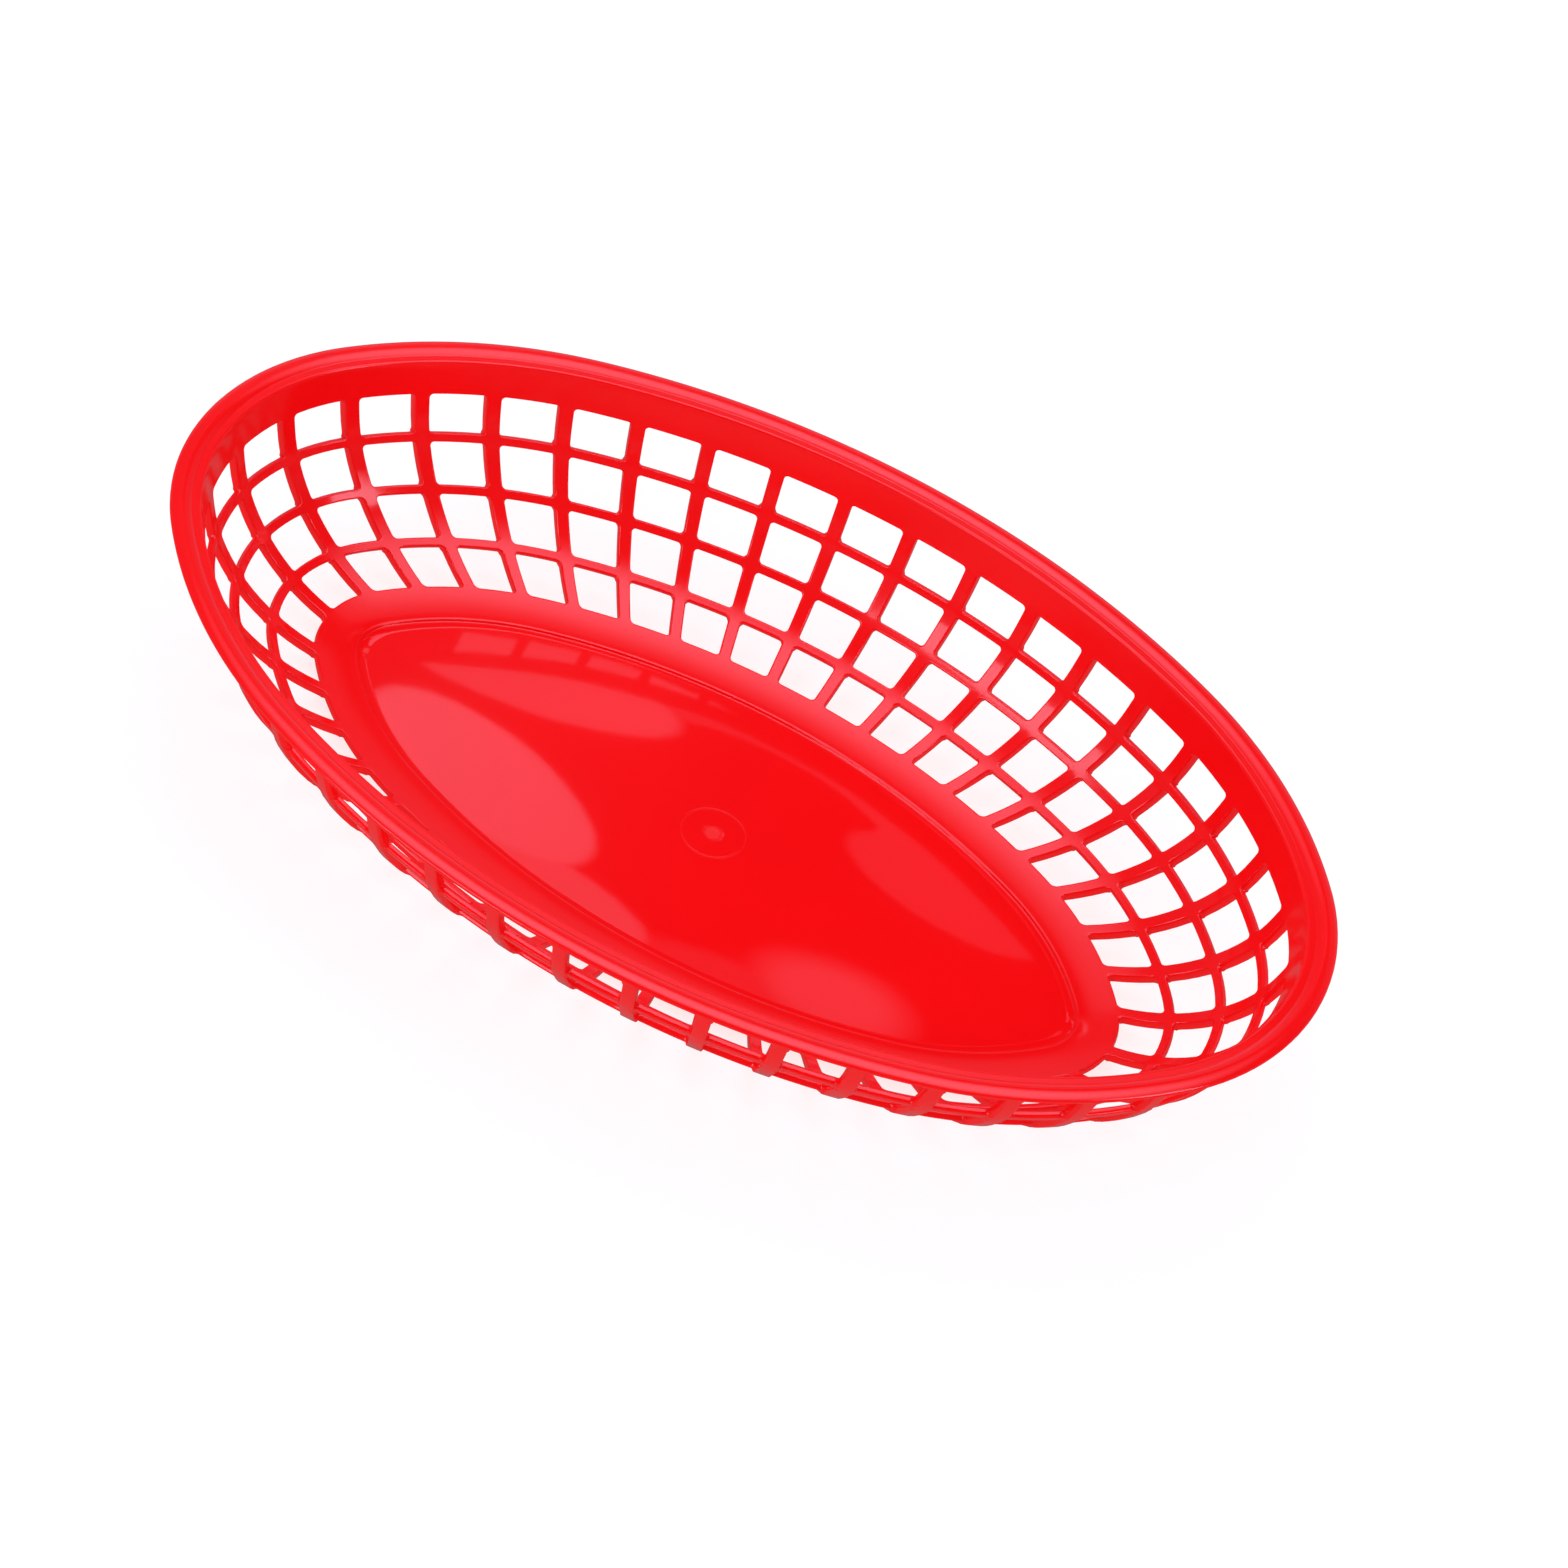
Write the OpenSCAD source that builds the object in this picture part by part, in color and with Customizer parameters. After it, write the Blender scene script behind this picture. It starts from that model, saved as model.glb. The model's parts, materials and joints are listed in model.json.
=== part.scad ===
// Oval fast food basket, moulded in one piece.
// The wall is a lattice of upright ribs and hoops under a solid band and an outward flange.
// Origin at the middle of the foot's underside, +X along the length, +Z up.

/* [Plan] */
// Length over the rim
basket_l = 238; // [210:1:260]
// Width over the rim
basket_w = 150; // [140:1:160]
// Radius of the rim at each end
end_r = 50.5; // [48:0.5:54]
// Turn of the end arc, from the long axis to the shoulder
end_turn = 38; // [35:1:41]
// Turn at which the shoulder arc passes into the long side
shoulder_turn = 68; // [65:1:71]

/* [Section] */
// Height of the rim's crest
basket_h = 39; // [36:0.2:48]
// Slope of the band under the rim, from level
band_slope = 75; // [71:1:79]
// Radius of the wall's sweep from the band into the floor
wall_r = 33.5; // [32:0.5:35]
// Thickness of the wall through a rib
rib_t = 1.9; // [1.7:0.1:2.6]
// Thickness of the hoops, set back behind the ribs on the outside
hoop_t = 1.4; // [1:0.1:1.6]

/* [Lattice] */
// Ribs round the basket
rib_count = 40; // [32:4:44]
// Rows of openings, one above another
row_count = 4; // [2:1:4]
// Height of an opening, measured down the wall
slot_h = 8.4; // [7:0.1:8.8]
// Distance from one row of openings to the next, measured down the wall
row_pitch = 10.2; // [9.6:0.1:10.4]
// Solid band between the inner ridge and the top row
band_h = 7.2; // [5:0.1:9]
// Width of a rib at the top row
rib_top_w = 2.9; // [2.4:0.1:3.6]
// Width of a rib at the foot of the lattice
rib_foot_w = 2.4; // [1.8:0.1:2.8]
// Height of the band and of the floor's edge left full thick beside the openings
edge_lap = 0.8; // [0.4:0.1:1.2]

/* [Rim] */
// Width of the rim, from its outer edge to the inner ridge
rim_w = 5.8; // [5.6:0.1:6.6]
// Drop from the crest to the inner ridge
ridge_drop = 0.6; // [0.4:0.1:0.8]
// Rounding of the inner ridge, where the wall turns into the rim
ridge_r = 0.6; // [0.5:0.05:0.8]
// Distance of the crease between the inner ridge and the crown from the outer edge
crease_in = 4.1; // [3.9:0.1:4.2]
// Distance of the crown's crest from the outer edge
crest_in = 2.1; // [1.9:0.1:2.4]
// Radius of the flange's crown
crown_r = 3.2; // [3:0.1:3.8]
// Thickness of the flange at its rounded edge
flange_t = 1; // [0.8:0.1:1.3]

/* [Floor] */
// Thickness of the floor panel
floor_t = 2; // [1.6:0.1:2.6]
// Step down from the wall's sweep to the floor panel
floor_step = 0.5; // [0.3:0.1:0.8]
// Height of the foot ring under the floor
foot_h = 1; // [0.6:0.1:1.6]
// Width of the foot ring where it stands
foot_w = 2; // [1.6:0.1:2.6]
// Draft of the foot ring, added to each side at its root
foot_draft = 0.3; // [0.1:0.1:0.5]

/* [Hidden] */

plastic = "#f5141c";
degree = 180 / PI;

// plan: three arcs from the end of the basket to its side, each tangent to the next
half_l = basket_l / 2;
half_w = basket_w / 2;
cos_gap = cos(end_turn) - cos(shoulder_turn);
sin_gap = sin(shoulder_turn) - sin(end_turn);
side_share = 1 - sin(shoulder_turn);
left_x = half_l - end_r * (1 - cos(end_turn));
left_y = half_w - end_r * sin(end_turn);
arc_det = cos_gap * side_share - sin_gap * cos(shoulder_turn);
shoulder_r = (left_x * side_share - left_y * cos(shoulder_turn)) / arc_det;
side_r = (cos_gap * left_y - sin_gap * left_x) / arc_det;
arc_r = [end_r, shoulder_r, side_r];
arc_turn = [0, end_turn, shoulder_turn, 90];
end_c = [half_l - end_r, 0];
shoulder_c = end_c + (end_r - shoulder_r) * [cos(end_turn), sin(end_turn)];
side_c = shoulder_c + (shoulder_r - side_r) * [cos(shoulder_turn), sin(shoulder_turn)];
arc_c = [end_c, shoulder_c, side_c];

// section: places are given as [inset from the rim's outer edge, height]
ridge_z = basket_h - ridge_drop;
sweep_z = foot_h + floor_t + floor_step;
sweep_c_z = sweep_z + wall_r;
bend_z = sweep_c_z - wall_r * cos(band_slope);
band_len = (ridge_z - bend_z) / sin(band_slope);
sweep_in = rim_w + band_len * cos(band_slope) + wall_r * sin(band_slope);
wall_len = band_len + wall_r * band_slope / degree;
lattice_len = (row_count - 1) * row_pitch + slot_h;
lattice_end = band_h + lattice_len;

// length of a quarter of the oval at an inset, up to the end of arc n
function quarter_len(inset, n = 3) =
    n == 0 ? 0
           : quarter_len(inset, n - 1)
             + (arc_r[n - 1] - inset) * (arc_turn[n] - arc_turn[n - 1]) / degree;

// the point at a length along a quarter of the oval, from the end of the basket
function quarter_at(inset, length) =
    let (n = length < quarter_len(inset, 1) ? 0 : length < quarter_len(inset, 2) ? 1 : 2,
         r = arc_r[n] - inset,
         turn = arc_turn[n] + (length - quarter_len(inset, n)) / r * degree)
    arc_c[n] + r * [cos(turn), sin(turn)];

// the point at a length along the whole oval, quarter by quarter from the +X end
function oval_at(inset, length) =
    let (quarter = quarter_len(inset),
         turns = floor(length / quarter),
         q = (turns % 4 + 4) % 4,
         along = length - turns * quarter,
         p = quarter_at(inset, q % 2 == 0 ? along : quarter - along))
    [q == 0 || q == 3 ? p[0] : -p[0], q < 2 ? p[1] : -p[1]];

// the wall at a length down it from the inner ridge and at a depth behind its inner face
function wall_at(s, depth = 0) =
    s < band_len
        ? [rim_w + s * cos(band_slope) - depth * sin(band_slope),
           ridge_z - s * sin(band_slope) - depth * cos(band_slope)]
        : let (slope = band_slope - (s - band_len) / wall_r * degree)
          [sweep_in - (wall_r + depth) * sin(slope), sweep_c_z - (wall_r + depth) * cos(slope)];

// width of a rib at a length down the wall, held to its end values past the lattice
function rib_w(s) =
    let (share = max(0, min(1, (s - band_h) / lattice_len)))
    rib_top_w + (rib_foot_w - rib_top_w) * share;

// A ring is [inset, height, length down the wall]. It has three stations to each rib:
// the rib's two edges and the middle of the opening that follows.
stations = 3 * rib_count;
function ring_points(ring) =
    let (pitch = 4 * quarter_len(ring[0]) / rib_count, half_rib = rib_w(ring[2]) / 2)
    [for (rib = [0 : rib_count - 1], along = [-half_rib, half_rib, pitch / 2])
        let (p = oval_at(ring[0], rib * pitch + along))
        [p[0], p[1], ring[1]]];

function wall_ring(s, depth = 0) = let (p = wall_at(s, depth)) [p[0], p[1], s];

// inner face, from the floor panel's edge up to the top row
row_tops = [for (row = [0 : row_count - 1]) band_h + row * row_pitch];
lattice_edges = [for (top = row_tops) each [top, top + slot_h]];
last = len(lattice_edges) - 1;
floor_rings = [[sweep_in, foot_h + floor_t, wall_len],
               wall_ring(wall_len),
               wall_ring((wall_len + lattice_end) / 2)];
inner_rings = [for (i = [last : -1 : 0]) wall_ring(lattice_edges[i])];

// rim: the ridge that tops the wall, the crease, the flange's crown and its rounded edge
ridge_in = rim_w + ridge_r / tan(band_slope) - ridge_r / sin(band_slope);
ridge_start = 90 + band_slope;
crown_z = basket_h - crown_r;
crown_start = 180 - acos((crease_in - crest_in) / crown_r);
edge_r = flange_t / 2;
crown_end = acos((crest_in - edge_r) / (crown_r - edge_r));
edge_z = crown_z + (crown_r - edge_r) * sin(crown_end);
flange_z = edge_z - edge_r;
flange_s = (ridge_z - rib_t * cos(band_slope) - flange_z) / sin(band_slope);
function arc_rings(inset, z, r, turns) = [for (a = turns) [inset - r * cos(a), z + r * sin(a), 0]];
rim_rings = concat(
    arc_rings(ridge_in, ridge_z - ridge_r, ridge_r, [ridge_start, (ridge_start + 90) / 2, 90]),
    arc_rings(crest_in, crown_z, crown_r,
              [for (i = [0 : 4]) crown_start + i * (crown_end - crown_start) / 4]),
    arc_rings(edge_r, edge_z, edge_r, [0, -45, -90]),
    [wall_ring(flange_s, rib_t)]);

// outer face, from the band down to the foot ring
outer_s = concat([band_h - edge_lap], lattice_edges, [lattice_end + edge_lap]);
outer_rings = [for (s = outer_s) wall_ring(s, rib_t)];
foot_rings = [wall_ring((lattice_end + wall_len) / 2, rib_t),
              wall_ring(wall_len - foot_w / 2 - foot_draft, rib_t),
              [sweep_in - foot_w / 2, 0, wall_len],
              [sweep_in + foot_w / 2, 0, wall_len],
              [sweep_in + foot_w / 2 + foot_draft, foot_h, wall_len]];

// the hoops' own outer face, behind the backs of the ribs
hoop_rings = [for (s = outer_s) wall_ring(s, hoop_t)];

rings = concat(floor_rings, inner_rings, rim_rings, outer_rings, foot_rings, hoop_rings);
inner_0 = len(floor_rings);
rim_0 = inner_0 + len(inner_rings);
outer_0 = rim_0 + len(rim_rings);
foot_0 = outer_0 + len(outer_rings);
hoop_0 = foot_0 + len(foot_rings);
levels = len(outer_s);

function at(ring, station) = ring * stations + station % stations;
function quad(a, b, c, d) = [[a, b, c], [a, c, d]];

// the skin between two rings, from one station to another
function skin(r0, r1, i0, i1) =
    [for (i = [i0 : i1 - 1]) each quad(at(r0, i), at(r0, i + 1), at(r1, i + 1), at(r1, i))];
function full_skin(r0, r1) = skin(r0, r1, 0, stations);

// the side of a rib between two pairs of rings; way is 1 on the side that faces the next rib
function rib_side(in_low, out_low, out_up, in_up, i, way) =
    way > 0 ? quad(at(in_low, i), at(out_low, i), at(out_up, i), at(in_up, i))
            : quad(at(in_low, i), at(in_up, i), at(out_up, i), at(out_low, i));

// Rings of an edge of the lattice, counted from the top: even edges are the tops of openings.
function inner_edge(e) = inner_0 + last - e;
function hoop_edge(e) = hoop_0 + 1 + e;

// one bay: a rib, and the hoops and openings between it and the next rib
function bay(rib) =
    let (a = 3 * rib, b = a + 1, c = a + 3)
    concat(
        [for (e = [0 : last - 1]) each skin(inner_edge(e + 1), inner_edge(e), a, e % 2 == 0 ? b : c)],
        [for (l = [0 : levels - 2]) each skin(outer_0 + l, outer_0 + l + 1, a, b)],
        [for (l = [0 : 2 : levels - 2]) each skin(hoop_0 + l, hoop_0 + l + 1, b, c)],
        skin(outer_0, hoop_0, b, c),
        skin(hoop_0 + levels - 1, outer_0 + levels - 1, b, c),
        [for (l = [0 : levels - 2], way = [1, -1])
            each rib_side(hoop_0 + l + 1, outer_0 + l + 1, outer_0 + l, hoop_0 + l, way > 0 ? b : c, way)],
        [for (e = [0 : 2 : last], way = [1, -1])
            each rib_side(inner_edge(e + 1), hoop_edge(e + 1), hoop_edge(e), inner_edge(e),
                          way > 0 ? b : c, way)],
        [for (e = [0 : 2 : last])
            each concat(skin(hoop_edge(e), inner_edge(e), b, c),
                        skin(inner_edge(e + 1), hoop_edge(e + 1), b, c))]);

module basket() {
    floor_top = [[for (i = [stations - 1 : -1 : 0]) at(0, i)]];
    floor_under = [[for (i = [0 : stations - 1]) at(hoop_0 - 1, i)]];
    whole_rings = concat(
        [for (r = [0 : inner_0 - 1]) each full_skin(r, r + 1)],
        [for (r = [rim_0 - 1 : outer_0 - 1]) each full_skin(r, r + 1)],
        [for (r = [foot_0 - 1 : hoop_0 - 2]) each full_skin(r, r + 1)]);
    bays = [for (rib = [0 : rib_count - 1]) each bay(rib)];
    color(plastic)
        polyhedron(points = [for (ring = rings) each ring_points(ring)],
                   faces = concat(floor_top, floor_under, whole_rings, bays),
                   convexity = 10);
}

basket();
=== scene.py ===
"""Oval lattice basket, moulded in one piece from glossy red plastic."""

import json
import math

import bmesh
import bpy
from mathutils import Matrix, Vector

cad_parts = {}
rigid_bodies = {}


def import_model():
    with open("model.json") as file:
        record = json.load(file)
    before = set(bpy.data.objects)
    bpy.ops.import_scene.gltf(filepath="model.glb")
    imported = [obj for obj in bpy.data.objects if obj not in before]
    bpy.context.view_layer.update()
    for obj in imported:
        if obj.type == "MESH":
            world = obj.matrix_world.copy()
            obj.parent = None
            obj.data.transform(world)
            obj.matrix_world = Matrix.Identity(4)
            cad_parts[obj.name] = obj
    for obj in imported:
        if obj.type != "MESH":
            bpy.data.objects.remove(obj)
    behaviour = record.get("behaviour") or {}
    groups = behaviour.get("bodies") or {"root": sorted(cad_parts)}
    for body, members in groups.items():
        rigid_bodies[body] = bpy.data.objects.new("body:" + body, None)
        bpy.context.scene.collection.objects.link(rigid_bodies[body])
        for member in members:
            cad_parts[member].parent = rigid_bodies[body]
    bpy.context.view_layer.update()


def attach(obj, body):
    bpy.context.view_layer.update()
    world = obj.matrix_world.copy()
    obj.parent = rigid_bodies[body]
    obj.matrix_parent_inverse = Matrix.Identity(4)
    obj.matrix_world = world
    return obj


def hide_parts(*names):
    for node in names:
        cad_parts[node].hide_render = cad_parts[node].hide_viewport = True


bl_info = {
    "name": "Oval lattice basket",
    "version": (1, 0, 0),
    "blender": (4, 5, 0),
    "location": "View3D > Sidebar > Basket",
    "description": "Makes an oval lattice basket and the studio round it",
    "category": "Object",
}

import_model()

MM = 0.001

# distances in m within which vertices are one: in the flat drawing, and once it is bent
FLAT_MERGE = 1e-4
BENT_MERGE = 2e-6

# the photograph's camera: its place in m, its axes, and its lens
CAMERA = Vector((0.2494, -0.8206, 0.8845))
CAMERA_RIGHT = Vector((0.8563, 0.4711, 0.2116))
CAMERA_UP = Vector((-0.4774, 0.5658, 0.6723))
CAMERA_BACK = Vector((0.197, -0.6767, 0.7094))
FOCAL_PX = 6512.0
FRAME_PX = 1568.0
SENSOR_MM = 36.0

# heights in mm of the floor panel, and of the change from its polish to the wall's satin
PANEL_Z = 3.0
SATIN_Z = (3.4, 3.7)

# the gate mark on the floor panel, in mm: a fine ring round a duller, sunk spot
GATE_R = 6.25
GATE_LINE = 0.05
GATE_SOFT = 0.3
SPOT_R = (0.8, 2.4)
SPOT_ROUGHNESS = 0.4

# relief of the skin, in mm: on the panel and on the wall, then the depths of the gate's ring and spot
WAVE = (0.003, 0.03)
PEEL = (0.0002, 0.0005)
RING_DEPTH = 0.022
SPOT_DEPTH = 0.04

# how much roughness the grain and the scuffs add, and what share of it the panel takes
GRAIN = 0.012
SCUFFS = 0.04
PANEL_SHARE = 0.1

# the studio's brightness: the sky's for diffuse light, the floor's glow, the floor's grey in gloss
SKY_LIGHT = 0.69
FLOOR_GLOW = 0.75
MIRRORED_FLOOR = (0.12, 0.12, 0.12, 1.0)
WHITE = (1.0, 1.0, 1.0, 1.0)
MIRRORED_SKY = (0.96, 0.93, 1.24, 1.0)
LAMP_COLOUR = (1.0, 0.95, 1.18)

# lamps aimed at the basket: name, azimuth and elevation in degrees, distance and size in m,
# radiance, and whether gloss mirrors it
LAMPS = (
    ("back_left", 118, 27, 1.5, (0.35, 0.6), 1.6, False),
    ("back_right", 99.5, 27, 1.5, (0.18, 0.6), 1.2, False),
    ("front_left", -120, 29, 1.6, (0.74, 0.6), 3.0, True),
    ("side", -8, 36, 1.4, (0.4, 0.55), 3.5, True),
)

# lit shapes that the floor panel mirrors, set by measure to the photograph's reflections:
# middle, half length and half width in mm on the panel, turn in degrees, softness of the edge, light
# (the near left one's light fades, so panel_lights gives it)
FAR_LEFT_LOBE = (-47, 12.5, 30, 9, 14, 0.07, 0.72)
FAR_RIGHT_LOBES = (
    (43, 15.5, 22, 8.2, -3, 0.08, 0.3),
    (32, 20.5, 8, 5, -10, 0.1, 0.3),
)
NEAR_LEFT_LOBE = (-42, -16, 27.3, 12.2, -12, 0.06)
NEAR_LOBES = (
    (-16, -31, 20, 5.6, -5, 0.12, 0.78),
    (38, -21.5, 14.5, 8, 8, 0.45, 0.6),
    (18, -30, 18, 4, 12, 0.4, 0.24),
)
PANE_PITCH = 12.4


# Settings


class BasketSettings(bpy.types.PropertyGroup):
    """Sizes of the basket, in millimetres and degrees as its drawing gives them."""

    length: bpy.props.FloatProperty(
        name="Length", description="Length over the rim, in mm", default=238.0, min=200.0, max=280.0)
    width: bpy.props.FloatProperty(
        name="Width", description="Width over the rim, in mm", default=150.0, min=120.0, max=180.0)
    height: bpy.props.FloatProperty(
        name="Height", description="Height of the rim's crest, in mm", default=39.0, min=34.0, max=50.0)
    end_r: bpy.props.FloatProperty(
        name="End radius", description="Radius of the rim at each end, in mm", default=50.5, min=46.0)
    end_turn: bpy.props.FloatProperty(
        name="End turn", description="Turn of the end arc", default=math.radians(38.0), subtype="ANGLE")
    shoulder_turn: bpy.props.FloatProperty(
        name="Shoulder turn", description="Turn at which the side arc starts",
        default=math.radians(68.0), subtype="ANGLE")
    ribs: bpy.props.IntProperty(
        name="Ribs", description="Ribs round the basket", default=40, min=16, max=60)
    rows: bpy.props.IntProperty(
        name="Rows", description="Rows of openings", default=4, min=1, max=4)
    slot_h: bpy.props.FloatProperty(
        name="Opening height", description="Height of an opening down the wall, in mm", default=8.4)
    row_pitch: bpy.props.FloatProperty(
        name="Row pitch", description="From one row to the next down the wall, in mm", default=10.2)
    band_h: bpy.props.FloatProperty(
        name="Band", description="Solid band over the top row, in mm", default=7.2)
    rib_top_w: bpy.props.FloatProperty(
        name="Rib width, top", description="Width of a rib at the top row, in mm", default=2.9)
    rib_foot_w: bpy.props.FloatProperty(
        name="Rib width, foot", description="Width of a rib at the lowest row, in mm", default=2.4)
    corner_r: bpy.props.FloatProperty(
        name="Corner", description="Radius of an opening's corners, in mm", default=0.8)
    edge_r: bpy.props.FloatProperty(
        name="Edge", description="Rounding of an opening's edges, in mm", default=0.28)
    rib_t: bpy.props.FloatProperty(
        name="Rib thickness", description="Thickness of the wall through a rib, in mm", default=1.9)
    hoop_t: bpy.props.FloatProperty(
        name="Hoop thickness", description="Thickness of the hoops, in mm", default=1.4)


class FinishSettings(bpy.types.PropertyGroup):
    """Colours and gloss of the moulded plastic."""

    base: bpy.props.FloatVectorProperty(
        name="Plastic", description="Colour of the plastic", subtype="COLOR", size=3,
        min=0.0, max=1.0, default=(0.95, 0.0035, 0.005))
    panel_roughness: bpy.props.FloatProperty(
        name="Panel roughness", description="Roughness of the polished floor panel",
        default=0.012, min=0.0, max=1.0, subtype="FACTOR")
    wall_roughness: bpy.props.FloatProperty(
        name="Wall roughness", description="Roughness of the wall, the lattice and the rim",
        default=0.12, min=0.0, max=1.0, subtype="FACTOR")
    floor: bpy.props.FloatVectorProperty(
        name="Floor", description="Colour of the studio floor", subtype="COLOR", size=3,
        min=0.0, max=1.0, default=(0.3, 0.3, 0.3))


# Section of the basket


class Section:
    """Places on the basket's section, as (inset from the rim's outer edge, height), in mm."""

    band_slope = math.radians(75.0)
    wall_r = 33.5
    rim_w = 5.8
    ridge_drop = 0.6
    ridge_r = 0.6
    crease_in = 4.1
    crest_in = 2.1
    crown_r = 3.2
    flange_t = 1.0
    floor_t = 2.0
    floor_step = 0.5
    foot_h = 1.0
    foot_w = 2.0
    foot_draft = 0.3
    foot_bevel = 0.12
    foot_fillet = 0.1
    edge_lap = 0.8
    # the fillet under the flange, and its middle as (inset, drop)
    fillet = 0.35
    fillet_mid = (0.05, 0.1)
    # rows close to the crease, as shares of the way to the ridge, keep its shading tight
    crease_rows = (0.85, 0.5, 0.2, 0.08)
    # the rounded step at the floor panel, as (inset past the sweep's foot, share of the step's height)
    step_rows = ((0.3, 0.0), (0.12, 0.04), (0.0, 0.24), (-0.06, 0.6),
                 (-0.16, 0.84), (-0.32, 0.98), (-0.6, 1.012))

    def __init__(self, s):
        self.s = s
        self.ridge_z = s.height - self.ridge_drop
        self.sweep_c_z = self.foot_h + self.floor_t + self.floor_step + self.wall_r
        bend_z = self.sweep_c_z - self.wall_r * math.cos(self.band_slope)
        self.band_len = (self.ridge_z - bend_z) / math.sin(self.band_slope)
        self.sweep_in = (self.rim_w + self.band_len * math.cos(self.band_slope)
                         + self.wall_r * math.sin(self.band_slope))
        self.wall_len = self.band_len + self.wall_r * self.band_slope
        self.lattice_len = (s.rows - 1) * s.row_pitch + s.slot_h
        self.lattice_end = s.band_h + self.lattice_len
        self.quarter = oval_arcs(s)["quarter"]

    def wall_at(self, down, depth=0.0):
        if down < self.band_len:
            return (self.rim_w + down * math.cos(self.band_slope) - depth * math.sin(self.band_slope),
                    self.ridge_z - down * math.sin(self.band_slope) - depth * math.cos(self.band_slope))
        slope = self.band_slope - (down - self.band_len) / self.wall_r
        return (self.sweep_in - (self.wall_r + depth) * math.sin(slope),
                self.sweep_c_z - (self.wall_r + depth) * math.cos(slope))

    def rib_w(self, down):
        share = min(1.0, max(0.0, (down - self.s.band_h) / self.lattice_len))
        return self.s.rib_top_w + (self.s.rib_foot_w - self.s.rib_top_w) * share

    def pitch(self, down):
        inset = self.wall_at(down)[0]
        return (4 * self.quarter - 2 * math.pi * inset) / self.s.ribs

    def rim_profile(self):
        """The ridge, the crease, the flange's crown and its rounded edge, from inside to outside."""
        ridge_in = (self.rim_w + self.ridge_r / math.tan(self.band_slope)
                    - self.ridge_r / math.sin(self.band_slope))
        crown_z = self.s.height - self.crown_r
        crown_start = math.pi - math.acos((self.crease_in - self.crest_in) / self.crown_r)
        crease_z = crown_z + self.crown_r * math.sin(crown_start)
        edge_r = self.flange_t / 2
        crown_end = math.acos((self.crest_in - edge_r) / (self.crown_r - edge_r))
        edge_z = crown_z + (self.crown_r - edge_r) * math.sin(crown_end)
        flange_z = edge_z - edge_r
        out = arc(ridge_in, self.ridge_z - self.ridge_r, self.ridge_r,
                  math.pi / 2 + self.band_slope, math.pi / 2, 7)
        shelf = (ridge_in - self.crease_in, self.ridge_z - crease_z)
        out += [(self.crease_in + shelf[0] * k, crease_z + shelf[1] * k) for k in self.crease_rows]
        out += arc(self.crest_in, crown_z, self.crown_r, crown_start, crown_end, 24)
        out += arc(edge_r, edge_z, edge_r, crown_end, -math.pi / 2, 9)[1:]
        back_z = self.ridge_z - self.s.rib_t * math.cos(self.band_slope)
        down = (back_z - flange_z) / math.sin(self.band_slope)
        inner = self.wall_at(down, self.s.rib_t)
        out.append((inner[0] - self.fillet, flange_z))
        out.append((inner[0] - self.fillet_mid[0], flange_z - self.fillet_mid[1]))
        out.append(self.wall_at(down + self.fillet, self.s.rib_t))
        return out


def arc(inset, z, radius, start, end, steps):
    """Points of an arc of the section; angles run from the outward level, anticlockwise."""
    return [(inset - radius * math.cos(start + (end - start) * i / steps),
             z + radius * math.sin(start + (end - start) * i / steps)) for i in range(steps + 1)]


def oval_arcs(s):
    """Radii and centres of the oval's three arcs, each tangent to the next, in mm."""
    half_l, half_w = s.length / 2, s.width / 2
    c1, s1 = math.cos(s.end_turn), math.sin(s.end_turn)
    c2, s2 = math.cos(s.shoulder_turn), math.sin(s.shoulder_turn)
    left_x = half_l - s.end_r * (1 - c1)
    left_y = half_w - s.end_r * s1
    det = (c1 - c2) * (1 - s2) - (s2 - s1) * c2
    shoulder_r = (left_x * (1 - s2) - left_y * c2) / det
    side_r = ((c1 - c2) * left_y - (s2 - s1) * left_x) / det
    end_x = half_l - s.end_r
    shoulder_x = end_x + (s.end_r - shoulder_r) * c1
    shoulder_y = (s.end_r - shoulder_r) * s1
    side_x = shoulder_x + (shoulder_r - side_r) * c2
    side_y = shoulder_y + (shoulder_r - side_r) * s2
    quarter = (s.end_r * s.end_turn + shoulder_r * (s.shoulder_turn - s.end_turn)
               + side_r * (math.pi / 2 - s.shoulder_turn))
    return {"end_r": s.end_r, "shoulder_r": shoulder_r, "side_r": side_r,
            "end_x": end_x, "shoulder_x": shoulder_x, "shoulder_y": shoulder_y,
            "side_x": side_x, "side_y": side_y, "quarter": quarter}


# One bay, drawn flat


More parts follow.
